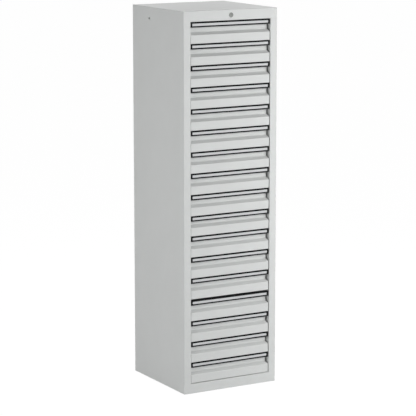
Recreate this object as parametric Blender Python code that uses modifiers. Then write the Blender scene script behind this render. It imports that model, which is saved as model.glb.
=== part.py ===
"""Industrial drawer cabinet: a narrow steel tower of shallow drawers under one central lock.

Metres, +Z up. The origin is the middle of the footprint, and the drawers open towards -Y.
Run it with blender --background --python part.py, or from the text editor.
"""
import math

import bmesh
import bpy
from mathutils import Matrix

# Case
CASE_WIDTH = 0.400
CASE_DEPTH = 0.400
TOP_RAIL = 0.040
BOTTOM_RAIL = 0.040
STILE_WIDTH = 0.029
STILE_RETURN = 0.0165
SHEET = 0.001
FOLD_RADIUS = 0.0018
PAN_FLANGE = 0.015
SIDE_HOLE_RADIUS = 0.0045
SIDE_HOLE_DEPTH = 0.265
SIDE_HOLE_BELOW_TOP = 0.043

# Drawer stack
DRAWER_COUNT = 17
DRAWER_PITCH = 0.080
FRONT_GAP = 0.001
SIDE_GAP = 0.002
RAISED_DRAWERS = (11, 12, 13)
RAISED_BY = 0.0038

# Drawer front, measured down from the top of its cell and back from the front plane
RECESS_DEPTH = 0.015
RAMP_HEAD = 0.0383
RAMP_FOOT = 0.048
RECESS_END = 0.0043
FRONT_SHIFT = -0.0012

# Drawer tray
TRAY_RIM = 0.010
TRAY_FLOOR = 0.0765
TRAY_LIP = 0.0075
RUNNER_CLEARANCE = 0.001

# Runner channels
LEDGE_WIDTH = 0.0075
CHANNEL_HEADROOM = 0.001
OPENING_TO_WEB = 0.001

# Label strip, a black moulding clipped on the front's top flange, and its paper label
STRIP_HEIGHT = 0.0191
STRIP_TOP_BAR = 0.0048
STRIP_END_BAR = 0.0068
LABEL_HEIGHT = 0.0100
STRIP_PLATE = 0.0026
STRIP_LEG = 0.012
STRIP_LEG_THICKNESS = 0.0012
POCKET_DEPTH = 0.0012
LABEL_THICKNESS = 0.0006

# Lock
LOCK_FACE_RADIUS = 0.009
LOCK_PROUD = 0.0015
LOCK_BODY_RADIUS = 0.0075
LOCK_BODY_LENGTH = 0.022
PLUG_RADIUS = 0.005
PLUG_CLEARANCE = 0.0002
PLUG_TAIL_RADIUS = 0.003
KEY_SLOT_HEIGHT = 0.006
KEY_SLOT_WIDTH = 0.0012
KEY_SLOT_DEPTH = 0.004
CAM_RADIUS = 0.0085
CAM_THICKNESS = 0.002
CAM_THROW = 0.006
CAM_PIN_RADIUS = 0.0015
CAM_PIN_LENGTH = 0.005

# Locking bar, a flat plate that the cam's pin lifts
BAR_THICKNESS = 0.003
BAR_WIDTH = 0.0124
ARM_HEIGHT = 0.010
FORK_CLEARANCE = 0.0005
FORK_LENGTH = 0.0075
HOOK_GAP = 0.001
HOOK_TOOTH = 0.0025
HOOK_THICKNESS = 0.002
HOOK_PLAY = 0.0008
BAR_ROOM = 0.009
TONGUE_REACH = 0.014
TONGUE_WIDTH = 0.012
TONGUE_THICKNESS = 0.0015
GUIDE_DEPTH = 0.012
GUIDE_WIDTH = 0.003
GUIDE_HEIGHT = 0.020
GUIDE_HEIGHT_SHARES = (0.12, 0.50, 0.88)

# Clearances and cutting
SEAT_GAP = 0.0003
OVERRUN = 0.005
WELD = 0.00001
ROUND_STEPS = 32
FOLD_STEPS = 3
SMOOTH_ANGLE = math.radians(30)

# Worked out from the above
case_height = BOTTOM_RAIL + DRAWER_COUNT * DRAWER_PITCH + TOP_RAIL
half_width = CASE_WIDTH / 2
front_y = (LOCK_PROUD - CASE_DEPTH) / 2
opening_half = half_width - STILE_WIDTH
front_half = opening_half - SIDE_GAP
recess_half = front_half - RECESS_END
rail_return = RECESS_DEPTH + SHEET + RUNNER_CLEARANCE
web_half = opening_half - OPENING_TO_WEB
runner_start = rail_return + SEAT_GAP
runner_end = CASE_DEPTH - SHEET - SEAT_GAP
tray_half = web_half - RUNNER_CLEARANCE - TRAY_LIP
face_bottom = DRAWER_PITCH - FRONT_GAP / 2
strip_top = FRONT_GAP / 2
flange_top = strip_top + STRIP_LEG_THICKNESS + SEAT_GAP
lock_z = case_height - TOP_RAIL / 2
lock_lift = CAM_THROW * math.sqrt(2)
cam_front = LOCK_BODY_LENGTH + SEAT_GAP
cam_back = cam_front + CAM_THICKNESS
bar_x = -(CAM_THROW + CAM_THROW / math.sqrt(2)) / 2
flange_front = runner_end - SHEET
bar_back = flange_front - SEAT_GAP
bar_inner = bar_back - BAR_WIDTH
tongue_end = bar_inner - BAR_ROOM
tray_length = tongue_end - TONGUE_REACH
tongue_top = TRAY_RIM + SHEET
tip_bottom = tongue_top + TONGUE_THICKNESS + lock_lift
tooth_top = tip_bottom + HOOK_GAP
hook_top = tooth_top + lock_lift

# Colour, roughness and metallic value of each finish
FINISHES = {
    "case_paint": ((0.624, 0.638, 0.631), 0.45, 0.0),
    "drawer_paint": ((0.638, 0.651, 0.645), 0.42, 0.0),
    "zinc_steel": ((0.52, 0.53, 0.53), 0.40, 0.8),
    "black_plastic": ((0.010, 0.011, 0.012), 0.45, 0.0),
    "label_paper": ((0.591, 0.591, 0.617), 0.60, 0.0),
    "lock_metal": ((0.50, 0.50, 0.49), 0.30, 1.0),
}

# Directions in which a flat outline is laid: its two axes, then the way that it is extruded
PLAN = Matrix.Identity(4)
SIDE = Matrix(((0, 0, 1, 0), (1, 0, 0, 0), (0, 1, 0, 0), (0, 0, 0, 1)))
FRONT = Matrix(((1, 0, 0, 0), (0, 0, -1, 0), (0, 1, 0, 0), (0, 0, 0, 1)))


def clear_scene():
    for existing in list(bpy.data.objects):
        bpy.data.objects.remove(existing, do_unlink=True)


def new_collection(name):
    collection = bpy.data.collections.new(name)
    bpy.context.scene.collection.children.link(collection)
    return collection


def new_material(name, colour, roughness, metallic):
    material = bpy.data.materials.new(name)
    material.use_nodes = True
    shader = material.node_tree.nodes["Principled BSDF"]
    shader.inputs["Base Color"].default_value = (*colour, 1.0)
    shader.inputs["Roughness"].default_value = roughness
    shader.inputs["Metallic"].default_value = metallic
    return material


def mesh_object(name, mesh):
    obj = bpy.data.objects.new(name, mesh)
    bpy.context.scene.collection.objects.link(obj)
    return obj


def tidy_mesh(mesh):
    """Weld loose caps and turn every face outwards."""
    shape = bmesh.new()
    shape.from_mesh(mesh)
    bmesh.ops.remove_doubles(shape, verts=shape.verts, dist=WELD)
    bmesh.ops.recalc_face_normals(shape, faces=shape.faces)
    shape.to_mesh(mesh)
    shape.free()


def baked(obj):
    """Replace an object by a mesh object that holds its evaluated shape."""
    bpy.context.view_layer.update()
    graph = bpy.context.evaluated_depsgraph_get()
    mesh = bpy.data.meshes.new_from_object(obj.evaluated_get(graph))
    mesh.transform(obj.matrix_world)
    tidy_mesh(mesh)
    name = obj.name
    bpy.data.objects.remove(obj, do_unlink=True)
    return mesh_object(name, mesh)


def outline(name, points, laid, start, stop):
    """A closed flat outline, extruded from start to stop along the third axis of laid."""
    curve = bpy.data.curves.new(name, "CURVE")
    curve.dimensions = "2D"
    curve.fill_mode = "BOTH"
    curve.extrude = (stop - start) / 2
    spline = curve.splines.new("POLY")
    spline.points.add(len(points) - 1)
    for point, (u, v) in zip(spline.points, points):
        point.co = (u, v, 0, 1)
    spline.use_cyclic_u = True
    obj = mesh_object(name, curve)
    obj.matrix_world = laid @ Matrix.Translation((0, 0, (start + stop) / 2))
    return baked(obj)


def boxes(name, corners):
    """One mesh of separate boxes, each given by its lowest and highest corner."""
    shape = bmesh.new()
    for low, high in corners:
        size = [b - a for a, b in zip(low, high)]
        centre = [(a + b) / 2 for a, b in zip(low, high)]
        placed = Matrix.Translation(centre) @ Matrix.Diagonal((*size, 1))
        bmesh.ops.create_cube(shape, size=1, matrix=placed)
    mesh = bpy.data.meshes.new(name)
    shape.to_mesh(mesh)
    shape.free()
    return mesh_object(name, mesh)


def box(name, low, high):
    return boxes(name, [(low, high)])


def turned(name, profile, closed):
    """A profile of (radius, distance back) pairs, turned about the Y axis."""
    mesh = bpy.data.meshes.new(name)
    edges = [(i, i + 1) for i in range(len(profile) - 1)]
    if closed:
        edges.append((len(profile) - 1, 0))
    mesh.from_pydata([(radius, back, 0) for radius, back in profile], edges, [])
    obj = mesh_object(name, mesh)
    screw = obj.modifiers.new("turn", "SCREW")
    screw.axis = "Y"
    screw.steps = ROUND_STEPS
    screw.render_steps = ROUND_STEPS
    screw.use_merge_vertices = True
    screw.merge_threshold = WELD
    return baked(obj)


def rod(name, radius, start, stop, x=0, z=0):
    """A cylinder along Y."""
    profile = [(0, start), (radius, start), (radius, stop), (0, stop)]
    obj = turned(name, profile, closed=False)
    obj.data.transform(Matrix.Translation((x, 0, z)))
    return obj


def combined(base, tools, operation):
    for tool in tools:
        boolean = base.modifiers.new(tool.name, "BOOLEAN")
        boolean.operation = operation
        boolean.object = tool
        boolean.solver = "EXACT"
    result = baked(base)
    for tool in tools:
        bpy.data.objects.remove(tool, do_unlink=True)
    return result


def joined(base, *tools):
    return combined(base, tools, "UNION")


def cut(base, *tools):
    return combined(base, tools, "DIFFERENCE")


def turn_right(start, end):
    """The unit direction a quarter turn clockwise from start to end."""
    run = (end[0] - start[0], end[1] - start[1])
    length = math.hypot(*run)
    return run[1] / length, -run[0] / length


def offset(chain, distance):
    """The chain moved to its right by distance, with its corners mitred."""
    sides = [turn_right(a, b) for a, b in zip(chain, chain[1:])]
    moved = []
    for index, (u, v) in enumerate(chain):
        before = sides[max(index - 1, 0)]
        after = sides[min(index, len(sides) - 1)]
        mitre = 1 + before[0] * after[0] + before[1] * after[1]
        shift = [distance * (p + q) / mitre for p, q in zip(before, after)]
        moved.append((u + shift[0], v + shift[1]))
    return moved


def folded(chain, thickness):
    """The closed outline of a sheet whose outer side follows the chain."""
    return chain + offset(chain, thickness)[::-1]


def rounded(chain, radius):
    """The chain with each inner corner, a square one, turned into an arc."""
    points = [chain[0]]
    for before, corner, after in zip(chain, chain[1:], chain[2:]):
        entry = turn_right(corner, before)
        leave = turn_right(corner, after)
        inward = (-entry[1], entry[0])
        outward = (-leave[1], leave[0])
        centre = [c + radius * (p + q) for c, p, q in zip(corner, inward, outward)]
        for step in range(FOLD_STEPS + 1):
            angle = math.pi / 2 * step / FOLD_STEPS
            reach = [-(math.cos(angle) * q + math.sin(angle) * p) for p, q in zip(inward, outward)]
            points.append((centre[0] + radius * reach[0], centre[1] + radius * reach[1]))
    points.append(chain[-1])
    return points


def shade(obj):
    obj.data.shade_smooth()
    obj.data.set_sharp_from_angle(angle=SMOOTH_ANGLE)


def place(obj, finish, collection, parent=None):
    """Give the object its own material and put it in the part's collection."""
    colour, roughness, metallic = FINISHES[finish]
    obj.data.materials.clear()
    obj.data.materials.append(new_material(obj.name + "_" + finish, colour, roughness, metallic))
    shade(obj)
    obj.parent = parent
    for owner in list(obj.users_collection):
        owner.objects.unlink(obj)
    collection.objects.link(obj)
    return obj


def cell_top(number):
    """Height of the top of a drawer's cell, numbered from 1 at the top."""
    height = BOTTOM_RAIL + (DRAWER_COUNT - number + 1) * DRAWER_PITCH
    if number in RAISED_DRAWERS:
        height += RAISED_BY
    return height


def plan_corners(inset=0):
    side = half_width - inset
    front = front_y + inset
    back = front_y + CASE_DEPTH - inset
    return [(0, front), (-side, front), (-side, back), (side, back), (side, front), (0, front)]


def outer_wrap():
    """One folded sheet: back, both sides, the front stiles and their returns, and the bar's guides."""
    chain = [
        (-opening_half, front_y + STILE_RETURN), (-opening_half, front_y),
        (-half_width, front_y), (-half_width, front_y + CASE_DEPTH),
        (half_width, front_y + CASE_DEPTH), (half_width, front_y),
        (opening_half, front_y), (opening_half, front_y + STILE_RETURN),
    ]
    edge = SHEET + SEAT_GAP
    wrap = outline("outer_wrap", folded(rounded(chain, FOLD_RADIUS), SHEET), PLAN, edge, case_height - edge)
    hole = turned("side_hole", [(0, -CASE_WIDTH), (SIDE_HOLE_RADIUS, -CASE_WIDTH),
                                (SIDE_HOLE_RADIUS, CASE_WIDTH), (0, CASE_WIDTH)], closed=False)
    hole.data.transform(Matrix.Rotation(math.pi / 2, 4, "Z"))
    hole.data.transform(Matrix.Translation((0, front_y + SIDE_HOLE_DEPTH, case_height - SIDE_HOLE_BELOW_TOP)))
    wrap = cut(wrap, hole)
    back_inside = front_y + CASE_DEPTH - SHEET
    guides = []
    for share in GUIDE_HEIGHT_SHARES:
        for side in (-1, 1):
            near = bar_x + side * (BAR_THICKNESS / 2 + SEAT_GAP)
            far = near + side * GUIDE_WIDTH
            middle = share * case_height
            low = (min(near, far), back_inside - GUIDE_DEPTH, middle - GUIDE_HEIGHT / 2)
            high = (max(near, far), back_inside + SHEET / 2, middle + GUIDE_HEIGHT / 2)
            guides.append((low, high))
    return joined(wrap, boxes("guides", guides))


def end_pan(name, upwards, rail):
    """A top or bottom plate with its front rail and the flanges that stand inside the wrap."""
    def level(distance):
        return case_height - distance if upwards else distance

    def span(near, far):
        return sorted((level(near), level(far)))

    plate = outline(name, rounded(plan_corners(), FOLD_RADIUS)[1:-1], PLAN, *span(0, SHEET))
    rail_chain = [
        (front_y, level(SHEET / 2)), (front_y, level(rail)),
        (front_y + rail_return, level(rail)),
    ]
    if upwards:
        rail_outline = rail_chain + offset(rail_chain, -SHEET)[::-1]
    else:
        rail_outline = folded(rail_chain, SHEET)
    rail_half = opening_half - SEAT_GAP
    front_rail = outline("rail", rail_outline, SIDE, -rail_half, rail_half)
    inner = half_width - SHEET - SEAT_GAP
    front = front_y + rail_return + SEAT_GAP
    back = front_y + CASE_DEPTH - SHEET - SEAT_GAP
    low, high = span(SHEET / 2, PAN_FLANGE)
    flanges = []
    for side in (-1, 1):
        near, far = sorted((side * inner, side * (inner - SHEET)))
        flanges.append(((near, front, low), (far, back - SHEET - SEAT_GAP, high)))
    rear_half = inner - SHEET - SEAT_GAP
    flanges.append(((-rear_half, back - SHEET, low), (rear_half, back, high)))
    return joined(plate, front_rail, boxes("flanges", flanges))


def runner_panel(name, side):
    """A channel down one side of the case, with a pair of ledges for each drawer's lip."""
    low = PAN_FLANGE + SEAT_GAP
    high = case_height - PAN_FLANGE - SEAT_GAP
    outer = half_width - SHEET - SEAT_GAP
    start = front_y + runner_start
    stop = front_y + runner_end
    chain = [(side * outer, start), (side * web_half, start), (side * web_half, stop), (side * outer, stop)]
    panel = outline(name, chain + offset(chain, side * SHEET)[::-1], PLAN, low, high)
    near, far = sorted((side * (web_half + SHEET / 2), side * (web_half - LEDGE_WIDTH)))
    ledges = []
    for number in range(1, DRAWER_COUNT + 1):
        lip_top = cell_top(number) - TRAY_RIM
        for bottom in (lip_top - SHEET - SEAT_GAP - SHEET, lip_top + CHANNEL_HEADROOM):
            ledges.append(((near, start + SHEET, bottom), (far, stop - SHEET, bottom + SHEET)))
    return joined(panel, boxes("ledges", ledges))


def hung(obj):
    """A piece of the drawer's front, which hangs a little to the left of the tray's middle."""
    obj.data.transform(Matrix.Translation((FRONT_SHIFT, 0, 0)))
    return obj


def drawer_shell(lift):
    """A folded tray with its profiled front. Its own origin is the front plane, at the cell's top.

    The lift carries the ramp, the face and the floor up and leaves a lower recess.
    """
    foot = lift - RAMP_FOOT
    floor = lift - TRAY_FLOOR
    front_chain = [
        (0, lift - face_bottom), (0, foot), (RECESS_DEPTH, lift - RAMP_HEAD),
        (RECESS_DEPTH, -flange_top - SHEET), (STRIP_PLATE + SEAT_GAP, -flange_top - SHEET),
    ]
    section_chain = [
        (-tray_half - TRAY_LIP, -TRAY_RIM - SHEET), (-tray_half, -TRAY_RIM - SHEET),
        (-tray_half, floor), (tray_half, floor),
        (tray_half, -TRAY_RIM - SHEET), (tray_half + TRAY_LIP, -TRAY_RIM - SHEET),
    ]
    section = section_chain + offset(section_chain, -SHEET)[::-1]
    rear = tray_length - SHEET / 2
    tray = outline("tray", section, FRONT, -rear, -SHEET / 2)
    middle = offset(front_chain, SHEET / 2)
    above = -TRAY_RIM + OVERRUN
    void = [(-OVERRUN, above), (middle[2][0], above), middle[2], middle[1], (-OVERRUN, middle[1][1])]
    reach = front_half + OVERRUN
    tray = cut(tray, outline("void", void, SIDE, -reach, reach))
    front = outline("front", folded(front_chain, SHEET), SIDE, -front_half, front_half)
    behind = RECESS_DEPTH + OVERRUN
    ends = [((-reach, -OVERRUN, foot), (-recess_half, behind, OVERRUN)),
            ((recess_half, -OVERRUN, foot), (reach, behind, OVERRUN))]
    front = hung(cut(front, boxes("recess_ends", ends)))
    wall_half = tray_half - SHEET / 2
    wall_low = (-wall_half, tray_length - SHEET, floor + SHEET / 2)
    wall_high = (wall_half, tray_length, -TRAY_RIM - SHEET / 2)
    wall = box("rear_wall", wall_low, wall_high)
    tongue_chain = [
        (rear, -tongue_top), (tongue_end, -tongue_top), (tongue_end, -tip_bottom),
    ]
    tongue_outline = folded(tongue_chain, TONGUE_THICKNESS)
    left, right = bar_x - TONGUE_WIDTH / 2, bar_x + TONGUE_WIDTH / 2
    tongue = outline("tongue", tongue_outline, SIDE, left, right)
    return joined(tray, front, wall, tongue)


def label_strip():
    """The black grip moulding: a plate with a label pocket, and two legs round the steel flange."""
    below = flange_top + SHEET + SEAT_GAP
    section = [
        (0, -strip_top), (STRIP_LEG, -strip_top),
        (STRIP_LEG, -strip_top - STRIP_LEG_THICKNESS), (STRIP_PLATE, -strip_top - STRIP_LEG_THICKNESS),
        (STRIP_PLATE, -below), (STRIP_LEG, -below),
        (STRIP_LEG, -below - STRIP_LEG_THICKNESS), (STRIP_PLATE, -below - STRIP_LEG_THICKNESS),
        (STRIP_PLATE, -strip_top - STRIP_HEIGHT), (0, -strip_top - STRIP_HEIGHT),
    ]
    strip = outline("strip", section, SIDE, -front_half, front_half)
    pocket_half = front_half - STRIP_END_BAR
    pocket_top = strip_top + STRIP_TOP_BAR
    pocket_low = (-pocket_half, -OVERRUN, -pocket_top - LABEL_HEIGHT)
    return hung(cut(strip, box("pocket", pocket_low, (pocket_half, POCKET_DEPTH, -pocket_top))))


def label_card():
    half = front_half - STRIP_END_BAR - SEAT_GAP
    top = strip_top + STRIP_TOP_BAR + SEAT_GAP
    bottom = strip_top + STRIP_TOP_BAR + LABEL_HEIGHT - SEAT_GAP
    back = POCKET_DEPTH - SEAT_GAP
    return hung(box("card", (-half, back - LABEL_THICKNESS, -bottom), (half, back, -top)))


def lock_barrel():
    bore = PLUG_RADIUS + PLUG_CLEARANCE
    profile = [
        (bore, -LOCK_PROUD), (LOCK_FACE_RADIUS, -LOCK_PROUD), (LOCK_FACE_RADIUS, -SEAT_GAP),
        (LOCK_BODY_RADIUS, -SEAT_GAP), (LOCK_BODY_RADIUS, LOCK_BODY_LENGTH), (bore, LOCK_BODY_LENGTH),
    ]
    return turned("lock_barrel", profile, closed=True)


def lock_plug():
    face = -LOCK_PROUD + SEAT_GAP
    tail = cam_back + SEAT_GAP
    profile = [
        (0, face), (PLUG_RADIUS, face), (PLUG_RADIUS, LOCK_BODY_LENGTH),
        (PLUG_TAIL_RADIUS, LOCK_BODY_LENGTH), (PLUG_TAIL_RADIUS, tail), (0, tail),
    ]
    plug = turned("lock_plug", profile, closed=False)
    slot_low = (-KEY_SLOT_WIDTH / 2, face - OVERRUN, -KEY_SLOT_HEIGHT / 2)
    slot_high = (KEY_SLOT_WIDTH / 2, face + KEY_SLOT_DEPTH, KEY_SLOT_HEIGHT / 2)
    return cut(plug, box("key_slot", slot_low, slot_high))


def lock_cam():
    """A disc on the plug's tail, with an off-centre pin that a quarter turn carries from low to high."""
    bore = PLUG_TAIL_RADIUS + SEAT_GAP
    profile = [(bore, cam_front), (CAM_RADIUS, cam_front), (CAM_RADIUS, cam_back), (bore, cam_back)]
    disc = turned("lock_cam", profile, closed=True)
    throw = CAM_THROW / math.sqrt(2)
    pin_start = cam_front + CAM_THICKNESS / 2
    pin = rod("pin", CAM_PIN_RADIUS, pin_start, cam_back + CAM_PIN_LENGTH, x=-throw, z=-throw)
    return joined(disc, pin)


def locking_bar():
    """A flat plate in the YZ plane: a forked arm over the drawers, and a hooked bar behind them."""
    pin_z = lock_z - CAM_THROW / math.sqrt(2)
    slot = CAM_PIN_RADIUS + FORK_CLEARANCE
    tine = (ARM_HEIGHT - 2 * slot) / 2
    fork_tip = front_y + cam_back + 2 * SEAT_GAP
    fork_root = fork_tip + FORK_LENGTH
    back = front_y + bar_back
    inner = front_y + bar_inner
    tooth_front = front_y + tongue_end - TONGUE_THICKNESS - HOOK_PLAY - HOOK_TOOTH
    points = [
        (fork_tip, pin_z - slot), (fork_root, pin_z - slot), (fork_root, pin_z + slot),
        (fork_tip, pin_z + slot), (fork_tip, pin_z + slot + tine), (back, pin_z + slot + tine),
        (back, cell_top(DRAWER_COUNT) - hook_top - HOOK_THICKNESS),
    ]
    for number in range(DRAWER_COUNT, 0, -1):
        top = cell_top(number)
        points += [
            (tooth_front, top - hook_top - HOOK_THICKNESS), (tooth_front, top - tooth_top),
            (tooth_front + HOOK_TOOTH, top - tooth_top), (tooth_front + HOOK_TOOTH, top - hook_top),
            (inner, top - hook_top),
        ]
        if number > 1:
            points.append((inner, cell_top(number - 1) - hook_top - HOOK_THICKNESS))
    points += [(inner, pin_z - slot - tine), (fork_tip, pin_z - slot - tine)]
    return outline("locking_bar", points, SIDE, bar_x - BAR_THICKNESS / 2, bar_x + BAR_THICKNESS / 2)


def joint_empty(name, location, collection):
    empty = bpy.data.objects.new(name, None)
    empty.location = location
    collection.objects.link(empty)
    return empty


def build():
    clear_scene()
    part = new_collection("industrial_drawer_cabinet")

    place(outer_wrap(), "case_paint", part)
    top = end_pan("top_panel", True, TOP_RAIL)
    hole = rod("lock_hole", LOCK_BODY_RADIUS + SEAT_GAP, -OVERRUN, OVERRUN)
    hole.data.transform(Matrix.Translation((0, front_y, lock_z)))
    place(cut(top, hole), "case_paint", part)
    place(end_pan("base_panel", False, BOTTOM_RAIL), "case_paint", part)
    place(runner_panel("left_runner_panel", -1), "case_paint", part)
    place(runner_panel("right_runner_panel", 1), "case_paint", part)

    drawer = drawer_shell(0)
    short_drawer = drawer_shell(RAISED_BY)
    strip = label_strip()
    card = label_card()
    short_one = min(RAISED_DRAWERS) - 1
    for number in range(1, DRAWER_COUNT + 1):
        slide = joint_empty(f"drawer_{number:02d}_slide", (0, front_y, cell_top(number)), part)
        shell = short_drawer if number == short_one else drawer
        for stem, source, finish in (("drawer", shell, "drawer_paint"),
                                     ("label_strip", strip, "black_plastic"),
                                     ("label", card, "label_paper")):
            copy = mesh_object(f"{stem}_{number:02d}", source.data.copy())
            place(copy, finish, part, slide)
    for source in (drawer, short_drawer, strip, card):
        bpy.data.objects.remove(source, do_unlink=True)

    axis = joint_empty("lock_axis", (0, front_y, lock_z), part)
    for piece in (lock_barrel(), lock_plug(), lock_cam()):
        place(piece, "lock_metal", part, axis)
    place(locking_bar(), "zinc_steel", part)


build()
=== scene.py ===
"""Looks of the industrial drawer cabinet: painted steel, black grip strips, labels and the lock.

Metres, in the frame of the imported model. The drawers open towards -Y.
"""
import math

import bmesh
import bpy
from mathutils import Matrix, Vector


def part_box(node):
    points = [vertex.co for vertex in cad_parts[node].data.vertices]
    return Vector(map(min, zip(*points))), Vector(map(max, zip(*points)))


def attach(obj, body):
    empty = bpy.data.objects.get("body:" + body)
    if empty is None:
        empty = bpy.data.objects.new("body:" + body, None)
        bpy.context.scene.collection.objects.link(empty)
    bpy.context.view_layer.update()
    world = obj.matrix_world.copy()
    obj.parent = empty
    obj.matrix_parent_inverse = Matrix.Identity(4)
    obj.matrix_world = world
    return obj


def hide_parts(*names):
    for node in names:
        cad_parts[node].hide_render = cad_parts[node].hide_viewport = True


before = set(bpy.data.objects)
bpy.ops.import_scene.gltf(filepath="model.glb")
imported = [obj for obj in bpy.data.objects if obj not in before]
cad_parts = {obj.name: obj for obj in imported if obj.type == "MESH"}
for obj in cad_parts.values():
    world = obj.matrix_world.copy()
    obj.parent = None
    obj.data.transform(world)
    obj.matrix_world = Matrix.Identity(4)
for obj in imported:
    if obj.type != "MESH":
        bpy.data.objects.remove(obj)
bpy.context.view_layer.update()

MM = 0.001

# Folded sheet of the case and the drawers
SHEET = 1.0 * MM
CASE_BEND = 1.8 * MM
OPENING_BEND = 0.8 * MM
FRONT_BEND = 1.6 * MM
TRAY_BEND = 1.4 * MM
BEND_STEPS = 4
EDGE_STEPS = 3
SMALL_EDGE_STEPS = 2

# Opening of the case
STILE_WIDTH = 29.0 * MM
TOP_RAIL_HEIGHT = 39.0 * MM
BOTTOM_RAIL_HEIGHT = 38.3 * MM
STILE_RETURN = 16.5 * MM
SIDE_HOLE_RADIUS = 4.5 * MM
SIDE_HOLE_BEHIND_FRONT = 265.0 * MM
SIDE_HOLE_BELOW_TOP = 43.0 * MM
HOLE_SIDES = 40

# Guides of the locking bar, spot-welded to the back
GUIDE_DEPTH = 12.0 * MM
GUIDE_WIDTH = 3.0 * MM
GUIDE_HEIGHT = 20.0 * MM
GUIDE_FOOT = 8.0 * MM
GUIDE_FOOT_THICKNESS = 1.2 * MM
GUIDE_EDGE = 0.3 * MM
GUIDE_PLAY = 0.3 * MM
GUIDE_HEIGHT_SHARES = (0.12, 0.50, 0.88)

# Drawer front, measured down from the top of its cell and back from the front plane
STRIP_BELOW_CELL = 0.5 * MM
FRONT_FLANGE_BELOW = 3.0 * MM
FRONT_FLANGE_START = 2.9 * MM
RECESS_DEPTH = 15.0 * MM
RAMP_HEAD = 38.3 * MM
RAMP_FOOT = 48.0 * MM
RECESS_END = 4.3 * MM
FACE_END = 79.5 * MM
DRAWER_PITCH = 80.0 * MM
FRONT_RETURN = 8.0 * MM

# Drawer tray
TRAY_HALF = 161.5 * MM
TRAY_LIP = 7.5 * MM
TRAY_RIM = 11.0 * MM
TRAY_FLOOR = 76.5 * MM
TRAY_LENGTH = 362.0 * MM
TONGUE_END = 376.0 * MM
TONGUE_WIDTH = 12.0 * MM
TONGUE_TIP = 21.0 * MM
TONGUE_THICKNESS = 1.5 * MM
TONGUE_BEND = 1.8 * MM

# Grip strip and label
STRIP_HEIGHT = 19.1 * MM
STRIP_PLATE = 2.6 * MM
STRIP_TOP_BAR = 5.0 * MM
STRIP_END_BAR = 6.8 * MM
LABEL_HEIGHT = 9.6 * MM
POCKET_DEPTH = 1.5 * MM
POCKET_EDGE = 0.25 * MM
STRIP_EDGE = 0.5 * MM
STRIP_LEG = 12.0 * MM
STRIP_LEG_THICKNESS = 1.2 * MM
LEG_GAP = 1.6 * MM
CARD_THICKNESS = 0.5 * MM
CARD_BEHIND = 0.7 * MM
CARD_PLAY = 0.3 * MM
CARD_CORNER = 0.8 * MM
CARD_EDGE = 0.08 * MM

# Lock
LOCK_SIDES = 64
BEZEL_CHAMFER = 0.45 * MM
BEZEL_DISH = 0.3 * MM
BEZEL_RIM = 1.1 * MM
BEZEL_STAND_OFF = 0.3 * MM
PLUG_RADIUS = 5.0 * MM
PLUG_CLEARANCE = 0.2 * MM
LOCK_BODY_RADIUS = 7.5 * MM
LOCK_HOLE_DEPTH = 17.0 * MM
PLUG_CHAMFER = 0.35 * MM
PLUG_TAIL_RADIUS = 3.0 * MM
KEY_SLOT = (2.4 * MM, 4.0 * MM, 6.0 * MM)
KEY_SLOT_ABOVE_AXIS = 1.3 * MM
KEY_SLOT_CORNER = 0.6 * MM

# Modelling: a bend is smoothed and a fold is found from these angles, FACING is the least part of a
# normal that counts as looking that way, and flat sides lead the shading of what lies beside them
SMOOTH_ANGLE = math.radians(35)
FOLD_ANGLE = SMOOTH_ANGLE / 2
FACING = 0.9
FLAT_SIDES_LEAD = 100
WELD = 0.01 * MM
NEAR = 0.05 * MM

# Camera: the photograph's viewpoint, from the front left and a little above the top; lens and
# sensor in millimetres
CAMERA_PLACE = (-3.549, -6.235, 1.986)
CAMERA_YAW = math.radians(29.76)
CAMERA_PITCH = math.radians(10.43)
CAMERA_LENS = 164.25
CAMERA_SENSOR = 36

# Studio: the room's even light, its white floor, and the soft panels as place, target, size and
# watts
ROOM_LIGHT = 0.10
FLOOR_SIZE = 40
FLOOR_SHARE_OF_WHITE = 0.93
FLOOR_GLOW = 1.06
PANELS = {
    "key_high": ((2.0, -8.0, 3.4), (0, -0.2, 0.72), (2.5, 2.5), 310),
    "strip_right": ((1.1, -1.0, 0.75), (0, -0.2, 0.75), (0.5, 2.0), 9.5),
    "high_right": ((1.0, -1.0, 2.0), (0, -0.2, 1.1), (0.8, 0.8), 1.5),
    "fill_left": ((-3.4, -0.9, 0.85), (-0.2, 0, 0.7), (1.6, 1.8), 58),
    "top_right": ((1.5, 0.8, 2.6), (0, 0, 1.44), (1.0, 1.0), 13),
    "top_back_right": ((1.8, 1.4, 2.2), (0, 0, 1.44), (1.0, 1.0), 5),
    "top_back": ((0.3, 1.8, 2.7), (0, 0, 1.44), (1.2, 1.2), 7),
}

# Places read from the frame
case_low, case_high = (Vector(corner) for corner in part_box("outer_wrap"))
case_low.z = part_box("base_panel")[0][2]
case_high.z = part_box("top_panel")[1][2]
front_y = case_low.y
opening_half = case_high.x - STILE_WIDTH
opening_low = case_low.z + BOTTOM_RAIL_HEIGHT
opening_high = case_high.z - TOP_RAIL_HEIGHT
strip_low, strip_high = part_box("label_strip_01")
front_half = (strip_high[0] - strip_low[0]) / 2
front_shift = (strip_high[0] + strip_low[0]) / 2
recess_half = front_half - RECESS_END
lock_low, lock_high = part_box("lock_barrel")
lock_z = (lock_low[2] + lock_high[2]) / 2
bar_low, bar_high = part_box("locking_bar")
bar_x = (bar_low[0] + bar_high[0]) / 2
drawer_numbers = [name.removeprefix("drawer_") for name in sorted(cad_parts)
                  if name.startswith("drawer_")]


# Modelling by hand: selecting, shaping and finishing
def new_piece(name, add, scale=(1, 1, 1), **settings):
    """Add a primitive, put its place and size in its mesh, and open it in edit mode."""
    bpy.ops.object.select_all(action="DESELECT")
    add(**settings)
    piece = bpy.context.active_object
    piece.scale = scale
    piece.name = name
    piece.data.name = name
    bpy.ops.object.transform_apply(location=True, rotation=True, scale=True)
    bpy.ops.object.mode_set(mode="EDIT")
    return piece


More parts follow.
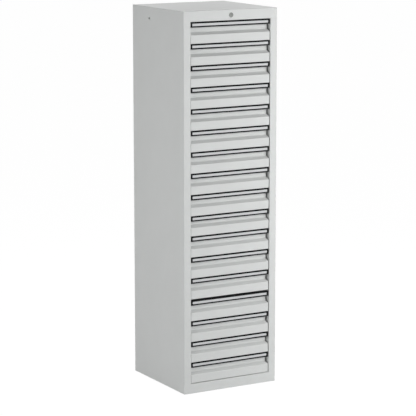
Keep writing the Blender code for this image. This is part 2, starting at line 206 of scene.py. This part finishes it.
def pick_faces(piece, test):
    """Select the faces whose centre and normal pass the test."""
    bpy.ops.mesh.select_mode(type="FACE")
    bpy.ops.mesh.select_all(action="DESELECT")
    shape = bmesh.from_edit_mesh(piece.data)
    for face in shape.faces:
        if test(face.calc_center_median(), face.normal):
            face.select_set(True)
    bmesh.update_edit_mesh(piece.data)


def pick_edges(piece, test, folds_only=False, borders_only=False):
    """Select the edges whose two ends pass the test."""
    bpy.ops.mesh.select_mode(type="EDGE")
    bpy.ops.mesh.select_all(action="DESELECT")
    shape = bmesh.from_edit_mesh(piece.data)
    for edge in shape.edges:
        if folds_only and not (edge.is_manifold and edge.calc_face_angle() >= FOLD_ANGLE):
            continue
        if borders_only and not edge.is_boundary:
            continue
        if test(*(corner.co for corner in edge.verts)):
            edge.select_set(True)
    bmesh.update_edit_mesh(piece.data)


def extrude(x=0.0, y=0.0, z=0.0):
    bpy.ops.mesh.extrude_region_move(TRANSFORM_OT_translate={"value": (x, y, z)})


def move(x=0.0, y=0.0, z=0.0):
    bpy.ops.transform.translate(value=(x, y, z))


def bevel(radius, steps):
    bpy.ops.mesh.bevel(offset=radius, segments=steps, affect="EDGES", clamp_overlap=True)


def bisect(at, across):
    bpy.ops.mesh.select_all(action="SELECT")
    bpy.ops.mesh.bisect(plane_co=at, plane_no=across)


def weld():
    bpy.ops.mesh.select_all(action="SELECT")
    bpy.ops.mesh.remove_doubles(threshold=WELD)
    bpy.ops.mesh.normals_make_consistent(inside=False)


def close_edit():
    bpy.ops.object.mode_set(mode="OBJECT")


def apply_modifier(piece, kind, **settings):
    bpy.context.view_layer.objects.active = piece
    modifier = piece.modifiers.new(kind.lower(), kind)
    for name, value in settings.items():
        setattr(modifier, name, value)
    bpy.ops.object.modifier_apply(modifier=modifier.name)


def thicken(piece, thickness):
    """Give a sheet its thickness, away from its outer side."""
    apply_modifier(piece, "SOLIDIFY", thickness=thickness, offset=-1, use_even_offset=True)


def drill(piece, radius, depth, place, turn):
    """Cut a round hole with a cylinder of that length, centred on the place."""
    bpy.ops.object.select_all(action="DESELECT")
    bpy.ops.mesh.primitive_cylinder_add(vertices=HOLE_SIDES, radius=radius, depth=depth,
                                        location=place, rotation=turn)
    cutter = bpy.context.active_object
    apply_modifier(piece, "BOOLEAN", object=cutter, operation="DIFFERENCE", solver="EXACT")
    bpy.data.objects.remove(cutter, do_unlink=True)


def join(piece, *others):
    bpy.ops.object.select_all(action="DESELECT")
    for part in (piece, *others):
        part.select_set(True)
    bpy.context.view_layer.objects.active = piece
    bpy.ops.object.join()
    return piece


def smooth(piece):
    """Round the bends and keep the flat sides flat."""
    bpy.ops.object.select_all(action="DESELECT")
    piece.select_set(True)
    bpy.context.view_layer.objects.active = piece
    bpy.ops.object.shade_smooth_by_angle(angle=SMOOTH_ANGLE)
    apply_modifier(piece, "WEIGHTED_NORMAL", keep_sharp=True, weight=FLAT_SIDES_LEAD)
    return piece


def near(a, b):
    return abs(a - b) < NEAR


def in_window(half, low, high, y):
    """A test for the edges in a plane that lie in a window there or on its rim."""
    def test(a, b):
        return all(near(p.y, y) and abs(p.x) < half + NEAR and low - NEAR < p.z < high + NEAR
                   for p in (a, b))
    return test


# Materials
def colour(code):
    """A linear colour from its sRGB hex value, by the constants of the sRGB curve."""
    channels = [int(code[start:start + 2], 16) / 255 for start in (1, 3, 5)]
    linear = [c / 12.92 if c <= 0.04045 else ((c + 0.055) / 1.055) ** 2.4 for c in channels]
    return (*linear, 1.0)


def per_metre(size_mm):
    """Pattern scale on Object coordinates for a feature of that size."""
    return 1 / (size_mm * MM)


def add_node(tree, kind, settings=None, **inputs):
    """A node with its settings; an input is either a value or the socket that feeds it.

    An input whose name is shared is given by its number, as slot2.
    """
    node = tree.nodes.new("ShaderNode" + kind)
    for name, value in (settings or {}).items():
        setattr(node, name, value)
    for name, value in inputs.items():
        numbered = name.startswith("slot")
        socket = node.inputs[int(name.removeprefix("slot")) if numbered else name.replace("_", " ")]
        if isinstance(value, bpy.types.NodeSocket):
            tree.links.new(value, socket)
        else:
            socket.default_value = value
    return node


def new_material(name, **values):
    """A material with its Principled shader, and the Object coordinates for its patterns."""
    material = bpy.data.materials.new(name)
    material.use_nodes = True
    tree = material.node_tree
    shader = tree.nodes["Principled BSDF"]
    for socket, value in values.items():
        shader.inputs[socket.replace("_", " ")].default_value = value
    place = add_node(tree, "TexCoord").outputs["Object"]
    return material, tree, shader, place


def powder_coat(name, base, deep):
    """Powder-coated steel: sprayed polyester powder, baked to a satin skin.

    The melt leaves a fine orange peel and a faint cloudiness in the grey, so it never looks flat.
    """
    material, tree, shader, place = new_material(name, Roughness=0.42)
    clouds = add_node(tree, "TexNoise", Vector=place, Scale=per_metre(90), Detail=3.0,
                      Roughness=0.6)
    speck = add_node(tree, "TexNoise", Vector=place, Scale=per_metre(5), Detail=2.0, Roughness=0.5)
    both = add_node(tree, "Mix", Factor=0.35, slot2=clouds.outputs["Fac"],
                    slot3=speck.outputs["Fac"])
    tint = add_node(tree, "MapRange", Value=both.outputs["Result"], From_Min=0.35, From_Max=0.65)
    paint = add_node(tree, "Mix", {"data_type": "RGBA"}, slot0=tint.outputs["Result"],
                     slot6=colour(deep), slot7=colour(base))
    tree.links.new(paint.outputs[2], shader.inputs["Base Color"])
    sheen = add_node(tree, "MapRange", Value=clouds.outputs["Fac"], To_Min=0.38, To_Max=0.48)
    tree.links.new(sheen.outputs["Result"], shader.inputs["Roughness"])
    peel = add_node(tree, "TexNoise", Vector=place, Scale=per_metre(1.6), Detail=2.0, Roughness=0.4)
    bump = add_node(tree, "Bump", Strength=0.12, Distance=0.05 * MM, Height=peel.outputs["Fac"])
    tree.links.new(bump.outputs["Normal"], shader.inputs["Normal"])
    return material


def zinc_plate():
    """Zinc-plated sheet steel: electroplated and passivated.

    Fine crystals break up the reflection, so it looks grey and softly blotched, not like chrome.
    """
    material, tree, shader, place = new_material("zinc_plated_steel", Metallic=1.0, Roughness=0.42)
    grains = add_node(tree, "TexVoronoi", Vector=place, Scale=per_metre(6))
    blotch = add_node(tree, "TexNoise", Vector=place, Scale=per_metre(25), Detail=3.0)
    both = add_node(tree, "Mix", Factor=0.5, slot2=grains.outputs["Distance"],
                    slot3=blotch.outputs["Fac"])
    plate = add_node(tree, "Mix", {"data_type": "RGBA"}, slot0=both.outputs["Result"],
                     slot6=colour("#A9ACAE"), slot7=colour("#C2C5C6"))
    tree.links.new(plate.outputs[2], shader.inputs["Base Color"])
    dull = add_node(tree, "MapRange", Value=both.outputs["Result"], To_Min=0.34, To_Max=0.52)
    tree.links.new(dull.outputs["Result"], shader.inputs["Roughness"])
    return material


def black_extrusion():
    """Black PVC, extruded.

    The die leaves faint lines along the strip, which make its satin sheen streaky.
    """
    material, tree, shader, place = new_material("extruded_black_pvc", Roughness=0.45,
                                                 Specular_IOR_Level=0.10)
    along = add_node(tree, "Mapping", Vector=place, Scale=(0.02, 1.0, 1.0))
    lines = add_node(tree, "TexNoise", Vector=along.outputs["Vector"], Scale=per_metre(0.6),
                     Detail=2.0)
    dust = add_node(tree, "TexNoise", Vector=place, Scale=per_metre(14), Detail=4.0)
    black = add_node(tree, "Mix", {"data_type": "RGBA"}, slot0=dust.outputs["Fac"],
                     slot6=colour("#0A0B0C"), slot7=colour("#131416"))
    tree.links.new(black.outputs[2], shader.inputs["Base Color"])
    satin = add_node(tree, "MapRange", Value=lines.outputs["Fac"], To_Min=0.40, To_Max=0.56)
    tree.links.new(satin.outputs["Result"], shader.inputs["Roughness"])
    bump = add_node(tree, "Bump", Strength=0.15, Distance=0.03 * MM, Height=lines.outputs["Fac"])
    tree.links.new(bump.outputs["Normal"], shader.inputs["Normal"])
    return material


def label_paper():
    """Label stock under a clear film.

    The paper is a cool white with its fibres just visible, and the film gives a thin gloss.
    """
    material, tree, shader, place = new_material("filmed_label_paper", Roughness=0.60,
                                                 Coat_Weight=0.35, Coat_Roughness=0.22)
    fibres = add_node(tree, "TexNoise", Vector=place, Scale=per_metre(2.2), Detail=5.0,
                      Roughness=0.65)
    wash = add_node(tree, "TexNoise", Vector=place, Scale=per_metre(45), Detail=1.0)
    both = add_node(tree, "Mix", Factor=0.6, slot2=fibres.outputs["Fac"], slot3=wash.outputs["Fac"])
    paper = add_node(tree, "Mix", {"data_type": "RGBA"}, slot0=both.outputs["Result"],
                     slot6=colour("#BEC0C1"), slot7=colour("#CBCDCE"))
    tree.links.new(paper.outputs[2], shader.inputs["Base Color"])
    bump = add_node(tree, "Bump", Strength=0.1, Distance=0.02 * MM, Height=fibres.outputs["Fac"])
    tree.links.new(bump.outputs["Normal"], shader.inputs["Normal"])
    return material


def turned_nickel():
    """Nickel-plated die-cast zinc, faced on a lathe.

    The tool leaves fine rings round the axis, which stretch the highlights.
    """
    material, tree, shader, place = new_material("turned_nickel_plate", Metallic=1.0,
                                                 Roughness=0.42, Base_Color=colour("#7B7E7B"))
    centred = add_node(tree, "Mapping", Vector=place, Location=(0, 0, -lock_z), Scale=(1, 0, 1))
    radius = add_node(tree, "VectorMath", {"operation": "LENGTH"}, Vector=centred.outputs["Vector"])
    rings = add_node(tree, "TexNoise", {"noise_dimensions": "1D"}, W=radius.outputs["Value"],
                     Scale=per_metre(0.35), Detail=2.0)
    satin = add_node(tree, "MapRange", Value=rings.outputs["Fac"], To_Min=0.34, To_Max=0.50)
    tree.links.new(satin.outputs["Result"], shader.inputs["Roughness"])
    bump = add_node(tree, "Bump", Strength=0.3, Distance=0.02 * MM, Height=rings.outputs["Fac"])
    tree.links.new(bump.outputs["Normal"], shader.inputs["Normal"])
    return material


def dress(piece, material, body, slot, *replaced):
    """Give a finished piece its material and body, and hide the CAD nodes that it stands for."""
    piece.data.materials.clear()
    piece.data.materials.append(material)
    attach(piece, body)
    if replaced:
        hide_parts(*replaced)
    return piece


# Case
def case_shell():
    """One folded and welded shell: sides, back, top, base, the front frame and its returns."""
    size = case_high - case_low
    piece = new_piece("case_shell", bpy.ops.mesh.primitive_cube_add, size=1,
                      location=(case_high + case_low) / 2, scale=size)
    # The opening: an even inset, whose top and bottom then move to the rails
    pick_faces(piece, lambda at, normal: normal.y < -FACING)
    bpy.ops.mesh.inset(thickness=STILE_WIDTH)
    opening_middle = (opening_low + opening_high) / 2
    for level, rail in ((case_high.z - STILE_WIDTH, opening_high),
                        (case_low.z + STILE_WIDTH, opening_low)):
        pick_edges(piece, lambda a, b: near(a.y, front_y) and near(a.z, level) and near(b.z, level))
        move(z=rail - level)
    pick_faces(piece, lambda at, normal: normal.y < -FACING and near(at.x, 0)
               and near(at.z, opening_middle))
    extrude(y=STILE_RETURN)
    bpy.ops.mesh.delete(type="FACE")
    planes = [(axis, corner[axis]) for axis in range(3) for corner in (case_low, case_high)]

    def outer_corner(a, b):
        return sum(near(a[axis], level) and near(b[axis], level) for axis, level in planes) == 2

    pick_edges(piece, outer_corner)
    bevel(CASE_BEND, BEND_STEPS)
    pick_edges(piece, in_window(opening_half, opening_low, opening_high, front_y))
    bevel(OPENING_BEND, BEND_STEPS)
    close_edit()
    thicken(piece, SHEET)
    lock_hole = (0, front_y, lock_z)
    drill(piece, LOCK_BODY_RADIUS + PLUG_CLEARANCE, LOCK_HOLE_DEPTH, lock_hole, (math.pi / 2, 0, 0))
    side_hole = (0, front_y + SIDE_HOLE_BEHIND_FRONT, case_high.z - SIDE_HOLE_BELOW_TOP)
    drill(piece, SIDE_HOLE_RADIUS, 2 * size.x, side_hole, (0, math.pi / 2, 0))
    return smooth(piece)


def bar_guide(share, side):
    """A bracket spot-welded to the back, with a blade beside the locking bar."""
    back = case_high.y - SHEET
    blade_x = bar_x + side * ((bar_high[0] - bar_low[0]) / 2 + GUIDE_PLAY + GUIDE_WIDTH / 2)
    middle = (blade_x, back - GUIDE_DEPTH / 2, share * case_high.z)
    name = "bar_guide_" + ("left" if side < 0 else "right") + f"_{round(share * 100):02d}"
    piece = new_piece(name, bpy.ops.mesh.primitive_cube_add, size=1, location=middle,
                      scale=(GUIDE_WIDTH, GUIDE_DEPTH, GUIDE_HEIGHT))
    bisect((0, back - GUIDE_FOOT_THICKNESS, 0), (0, 1, 0))
    pick_faces(piece, lambda at, normal: normal.x * side > FACING
               and at.y > back - GUIDE_FOOT_THICKNESS)
    extrude(x=side * GUIDE_FOOT)
    pick_edges(piece, lambda a, b: True, folds_only=True)
    bevel(GUIDE_EDGE, SMALL_EDGE_STEPS)
    close_edit()
    return smooth(piece)


# Drawers, modelled about the front plane at the top of the cell
def front_panel(lift):
    """The folded front: lower face with its returns, slanted step, finger recess and top flange.

    The step narrows from the face's width to the recess's, which is less to clear the folds.
    The lift carries the step and the face up.
    """
    foot, end = RAMP_FOOT - lift, FACE_END - lift
    height = end - foot
    piece = new_piece("front_panel", bpy.ops.mesh.primitive_plane_add, size=1,
                      location=(0, 0, -end + height / 2), rotation=(math.pi / 2, 0, 0),
                      scale=(2 * front_half, height, 1))
    pick_edges(piece, lambda a, b: near(a.z, -foot) and near(b.z, -foot))
    extrude(y=RECESS_DEPTH, z=RAMP_FOOT - RAMP_HEAD)
    bpy.ops.transform.resize(value=(recess_half / front_half, 1, 1), center_override=(0, 0, 0))
    extrude(z=RAMP_HEAD - lift - FRONT_FLANGE_BELOW)
    extrude(y=FRONT_FLANGE_START - RECESS_DEPTH)
    pick_edges(piece, lambda a, b: near(a.z, -end) and near(b.z, -end))
    extrude(y=FRONT_RETURN)
    pick_edges(piece, lambda a, b: near(abs(a.x), front_half) and near(a.x, b.x)
               and near(a.y, 0) and near(b.y, 0))
    extrude(y=FRONT_RETURN)
    weld()
    pick_edges(piece, lambda a, b: True, folds_only=True)
    bevel(FRONT_BEND, BEND_STEPS)
    close_edit()
    thicken(piece, SHEET)
    return smooth(piece)


def drawer_tray(lift):
    """The folded tray behind the front, with its lips, rear wall and catch tongue."""
    start = SHEET
    floor = TRAY_FLOOR - lift
    length = TRAY_LENGTH - start
    piece = new_piece("drawer_tray", bpy.ops.mesh.primitive_plane_add, size=1,
                      location=(0, start + length / 2, -floor), scale=(2 * TRAY_HALF, length, 1))
    wall = floor - TRAY_RIM
    pick_edges(piece, lambda a, b: near(abs(a.x), TRAY_HALF) and near(a.x, b.x))
    extrude(z=wall)
    for side in (-1, 1):
        pick_edges(piece, lambda a, b: near(a.x, side * TRAY_HALF)
                   and near(a.z, -TRAY_RIM) and near(b.z, -TRAY_RIM))
        extrude(x=side * TRAY_LIP)
    pick_edges(piece, lambda a, b: near(a.y, TRAY_LENGTH) and near(b.y, TRAY_LENGTH)
               and near(a.z, -floor) and near(b.z, -floor))
    extrude(z=wall)
    weld()
    # The sides end where they meet the back of the slanted step
    inside_ramp = Vector((0, RECESS_DEPTH + SHEET, lift - RAMP_HEAD - SHEET))
    slope = Vector((0, RAMP_HEAD - RAMP_FOOT, RECESS_DEPTH))
    bisect(inside_ramp, (0, 1, 0))
    bisect(inside_ramp, slope)
    pick_faces(piece, lambda at, normal: at.y < inside_ramp.y and (at - inside_ramp).dot(slope) > 0)
    bpy.ops.mesh.delete(type="FACE")
    pick_edges(piece, lambda a, b: True, folds_only=True)
    bevel(TRAY_BEND, BEND_STEPS)
    close_edit()
    thicken(piece, SHEET)
    return smooth(join(piece, catch_tongue()))


def catch_tongue():
    """The bent tab on the rear wall that the locking bar's hook holds."""
    reach = TONGUE_END - TRAY_LENGTH
    piece = new_piece("catch_tongue", bpy.ops.mesh.primitive_plane_add, size=1,
                      location=(bar_x, TRAY_LENGTH + reach / 2, -TRAY_RIM),
                      scale=(TONGUE_WIDTH, reach, 1))
    pick_edges(piece, lambda a, b: near(a.y, TONGUE_END) and near(b.y, TONGUE_END))
    extrude(z=TRAY_RIM - TONGUE_TIP)
    pick_edges(piece, lambda a, b: True, folds_only=True)
    bevel(TONGUE_BEND, BEND_STEPS)
    close_edit()
    thicken(piece, TONGUE_THICKNESS)
    return piece


def grip_strip():
    """The extruded black strip: a plate with the label pocket, and two legs round the flange."""
    top, bottom = -STRIP_BELOW_CELL, -STRIP_BELOW_CELL - STRIP_HEIGHT
    middle = (top + bottom) / 2
    piece = new_piece("grip_strip", bpy.ops.mesh.primitive_cube_add, size=1,
                      location=(0, STRIP_PLATE / 2, middle),
                      scale=(2 * front_half, STRIP_PLATE, STRIP_HEIGHT))
    pocket_half = front_half - STRIP_END_BAR
    pocket_top = top - STRIP_TOP_BAR
    pocket_low = pocket_top - LABEL_HEIGHT
    low_bar = pocket_low - bottom
    # The pocket: an even inset, whose top and ends then move to their bars
    pick_faces(piece, lambda at, normal: normal.y < -FACING)
    bpy.ops.mesh.inset(thickness=low_bar)
    level = top - low_bar
    pick_edges(piece, lambda a, b: near(a.y, 0) and near(a.z, level) and near(b.z, level))
    move(z=low_bar - STRIP_TOP_BAR)
    for side in (-1, 1):
        inner = side * (front_half - low_bar)
        pick_edges(piece, lambda a, b: near(a.y, 0) and near(a.x, inner) and near(b.x, inner))
        move(x=side * (low_bar - STRIP_END_BAR))
    pick_faces(piece, lambda at, normal: normal.y < -FACING and near(at.x, 0)
               and near(at.z, (pocket_top + pocket_low) / 2))
    extrude(y=POCKET_DEPTH)
    first = top - STRIP_LEG_THICKNESS
    second = first - LEG_GAP
    third = second - STRIP_LEG_THICKNESS
    for level in (first, second, third):
        pick_faces(piece, lambda at, normal: normal.y > FACING)
        bpy.ops.mesh.bisect(plane_co=(0, 0, level), plane_no=(0, 0, 1))
    pick_faces(piece, lambda at, normal: normal.y > FACING
               and (at.z > first or second > at.z > third))
    extrude(y=STRIP_LEG - STRIP_PLATE)

    def plate_rim(a, b):
        level_edge = near(a.z, b.z) and near(abs(a.z - middle), STRIP_HEIGHT / 2)
        end_edge = near(a.x, b.x) and near(abs(a.x), front_half)
        return near(a.y, 0) and near(b.y, 0) and (level_edge or end_edge)

    pick_edges(piece, in_window(pocket_half, pocket_low, pocket_top, 0))
    bevel(POCKET_EDGE, EDGE_STEPS)
    pick_edges(piece, plate_rim)
    bevel(STRIP_EDGE, EDGE_STEPS)
    close_edit()
    return smooth(piece)


def label_card():
    """The label in its pocket, with trimmed corners."""
    half = front_half - STRIP_END_BAR - CARD_PLAY
    height = LABEL_HEIGHT - 2 * CARD_PLAY
    middle = -STRIP_BELOW_CELL - STRIP_TOP_BAR - LABEL_HEIGHT / 2
    piece = new_piece("label_card", bpy.ops.mesh.primitive_cube_add, size=1,
                      location=(0, CARD_BEHIND + CARD_THICKNESS / 2, middle),
                      scale=(2 * half, CARD_THICKNESS, height))
    pick_edges(piece, lambda a, b: near(a.x, b.x) and near(a.z, b.z))
    bevel(CARD_CORNER, EDGE_STEPS)
    pick_edges(piece, lambda a, b: near(a.y, CARD_BEHIND) and near(b.y, CARD_BEHIND),
               folds_only=True)
    bevel(CARD_EDGE, SMALL_EDGE_STEPS)
    close_edit()
    return smooth(piece)


def put_on_drawer(source, stem, number, material, slot, replaced, shift=front_shift):
    """A copy of the source on that drawer, with its own mesh and its place in it."""
    strip_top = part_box(f"label_strip_{number}")[1][2]
    copy = bpy.data.objects.new(f"{stem}_{number}", source.data.copy())
    bpy.context.scene.collection.objects.link(copy)
    copy.data.name = copy.name
    copy.data.transform(Matrix.Translation((shift, front_y, strip_top + STRIP_BELOW_CELL)))
    return dress(copy, material, f"drawer_{number}_body", slot, replaced)


# Lock, modelled in place from rings about its axis
def next_ring(scale, y=0.0):
    """Carry the selected ring on to a new radius and depth."""
    extrude(y=y)
    bpy.ops.transform.resize(value=(scale, 1, scale), center_override=(0, 0, lock_z))


def ring_chain(name, rings):
    """A turned form from (radius, y) rings, the first one drawn as a circle."""
    radius, y = rings[0]
    piece = new_piece(name, bpy.ops.mesh.primitive_circle_add, vertices=LOCK_SIDES, radius=radius,
                      fill_type="NOTHING", location=(0, y, lock_z), rotation=(math.pi / 2, 0, 0))
    bpy.ops.mesh.select_mode(type="EDGE")
    bpy.ops.mesh.select_all(action="SELECT")
    for next_radius, next_y in rings[1:]:
        next_ring(next_radius / radius, next_y - y)
        radius, y = next_radius, next_y
    return piece


def lock_bezel():
    """The barrel: a dished face with a chamfered rim, and the body behind the rail."""
    bore = PLUG_RADIUS + PLUG_CLEARANCE
    face, flange, rear = lock_low[1], front_y - BEZEL_STAND_OFF, lock_high[1]
    edge, dish = lock_high[0], face + BEZEL_DISH
    piece = ring_chain("lock_bezel", [
        (bore, dish), (edge - BEZEL_RIM - BEZEL_DISH, dish), (edge - BEZEL_RIM, face),
        (edge - BEZEL_CHAMFER, face), (edge, face + BEZEL_CHAMFER), (edge, flange),
        (LOCK_BODY_RADIUS, flange), (LOCK_BODY_RADIUS, rear), (bore, rear), (bore, dish)])
    weld()
    close_edit()
    return smooth(piece)


def lock_core():
    """The plug, with a chamfered face and the keyway."""
    plug_low, plug_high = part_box("lock_plug")
    face, barrel_end, tail_end = plug_low[1], lock_high[1], plug_high[1]
    piece = ring_chain("lock_core", [
        (PLUG_RADIUS - PLUG_CHAMFER, face), (PLUG_RADIUS, face + PLUG_CHAMFER),
        (PLUG_RADIUS, barrel_end), (PLUG_TAIL_RADIUS, barrel_end), (PLUG_TAIL_RADIUS, tail_end)])
    for y in (face, tail_end):
        pick_edges(piece, lambda a, b: near(a.y, y) and near(b.y, y), borders_only=True)
        bpy.ops.mesh.edge_face_add()
    weld()
    close_edit()
    width, depth, height = KEY_SLOT
    slot = new_piece("key_slot", bpy.ops.mesh.primitive_cube_add, size=1,
                     location=(0, face, lock_z + KEY_SLOT_ABOVE_AXIS),
                     scale=(width, 2 * depth, height))
    pick_edges(slot, lambda a, b: near(a.x, b.x) and near(a.z, b.z))
    bevel(KEY_SLOT_CORNER, SMALL_EDGE_STEPS)
    close_edit()
    apply_modifier(piece, "BOOLEAN", object=slot, operation="DIFFERENCE", solver="EXACT")
    bpy.data.objects.remove(slot, do_unlink=True)
    return smooth(piece)


# Studio
def area_light(name, place, target, size, power):
    """A soft white panel that faces its target."""
    lamp = bpy.data.lights.new(name, "AREA")
    lamp.shape = "RECTANGLE"
    lamp.size, lamp.size_y = size
    lamp.energy = power
    holder = bpy.data.objects.new(name, lamp)
    bpy.context.scene.collection.objects.link(holder)
    holder.location = place
    holder.rotation_euler = (Vector(target) - Vector(place)).to_track_quat("-Z", "Y").to_euler()


def white_to_the_eye(tree):
    """White where the camera, a reflection or a clear piece sees it, and lit otherwise."""
    path = add_node(tree, "LightPath")
    eye = add_node(tree, "Math", {"operation": "MAXIMUM"}, slot0=path.outputs["Is Camera Ray"],
                   slot1=path.outputs["Is Glossy Ray"])
    either = add_node(tree, "Math", {"operation": "MAXIMUM"}, slot0=eye.outputs[0],
                      slot1=path.outputs["Is Transmission Ray"])
    return either.outputs[0]


def studio_world():
    """A plain pale room: soft light from all sides, and white behind the object."""
    world = bpy.data.worlds.new("studio")
    bpy.context.scene.world = world
    world.use_nodes = True
    tree = world.node_tree
    seen = white_to_the_eye(tree)
    strength = add_node(tree, "MapRange", Value=seen, To_Min=ROOM_LIGHT, To_Max=1.0)
    room = tree.nodes["Background"]
    room.inputs["Color"].default_value = colour("#FFFFFF")
    tree.links.new(strength.outputs["Result"], room.inputs["Strength"])


def studio_floor():
    """Matt white floor, which the camera sees as white with the object's faint shadow."""
    bpy.ops.object.select_all(action="DESELECT")
    bpy.ops.mesh.primitive_plane_add(size=FLOOR_SIZE, location=(0, 0, case_low.z))
    floor = bpy.context.active_object
    floor.name = "studio_floor"
    material, tree, shader, place = new_material("matt_white_floor", Roughness=0.9,
                                                 Specular_IOR_Level=0.0,
                                                 Base_Color=colour("#DEDEDE"))
    seen = white_to_the_eye(tree)
    share = add_node(tree, "Math", {"operation": "MULTIPLY"}, slot0=seen,
                     slot1=FLOOR_SHARE_OF_WHITE)
    glow = add_node(tree, "Emission", Strength=FLOOR_GLOW)
    both = add_node(tree, "MixShader", slot0=share.outputs[0], slot1=shader.outputs["BSDF"],
                    slot2=glow.outputs["Emission"])
    tree.links.new(both.outputs["Shader"], tree.nodes["Material Output"].inputs["Surface"])
    floor.data.materials.append(material)


def studio_camera():
    """The photograph's viewpoint: from the front left, a little above the top."""
    lens = bpy.data.cameras.new("camera")
    lens.lens = CAMERA_LENS
    lens.sensor_width = CAMERA_SENSOR
    camera = bpy.data.objects.new("camera", lens)
    bpy.context.scene.collection.objects.link(camera)
    camera.location = CAMERA_PLACE
    camera.rotation_euler = (math.pi / 2 - CAMERA_PITCH, 0, -CAMERA_YAW)
    bpy.context.scene.camera = camera


studio_camera()
studio_world()
studio_floor()
for panel, (place, target, size, watts) in PANELS.items():
    area_light(panel, place, target, size, watts)

case_paint = powder_coat("powder_coated_case", "#D0D2D1", "#CDCFCE")
drawer_paint = powder_coat("powder_coated_fronts", "#D1D3D2", "#CED0CF")
zinc = zinc_plate()
plastic = black_extrusion()
paper = label_paper()
nickel = turned_nickel()

dress(case_shell(), case_paint, "case", "case_paint", "outer_wrap", "top_panel", "base_panel")
for share in GUIDE_HEIGHT_SHARES:
    for side in (-1, 1):
        dress(bar_guide(share, side), case_paint, "case", "case_paint", "outer_wrap")
dress(lock_bezel(), nickel, "case", "lock_metal", "lock_barrel")
dress(lock_core(), nickel, "lock", "lock_metal", "lock_plug")

# A drawer whose cell is lower than the pitch has its step, face and floor raised by what is missing
strip_tops = {number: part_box(f"label_strip_{number}")[1][2] for number in drawer_numbers}
lifts = dict.fromkeys(drawer_numbers, 0.0)
for number, below in zip(drawer_numbers, drawer_numbers[1:]):
    room = strip_tops[number] - strip_tops[below]
    lifts[number] = round(max(DRAWER_PITCH - room, 0) / MM, 1) * MM
fronts = {lift: front_panel(lift) for lift in sorted(set(lifts.values()))}
trays = {lift: drawer_tray(lift) for lift in fronts}
strip, card = grip_strip(), label_card()
for number in drawer_numbers:
    node = f"drawer_{number}"
    lift = lifts[number]
    put_on_drawer(fronts[lift], "front_panel", number, drawer_paint, "drawer_paint", node)
    put_on_drawer(trays[lift], "drawer_tray", number, drawer_paint, "drawer_paint", node, shift=0)
    put_on_drawer(strip, "grip_strip", number, plastic, "black_plastic", f"label_strip_{number}")
    put_on_drawer(card, "label_card", number, paper, "label_paper", f"label_{number}")
for source in (*fronts.values(), *trays.values(), strip, card):
    bpy.data.objects.remove(source, do_unlink=True)

# Solids that stay get their real finish
finishes = {"left_runner_panel": case_paint, "right_runner_panel": case_paint,
            "locking_bar": zinc, "lock_cam": zinc}
for node, material in finishes.items():
    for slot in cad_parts[node].material_slots:
        slot.material = material

bpy.context.scene.view_settings.view_transform = "Standard"
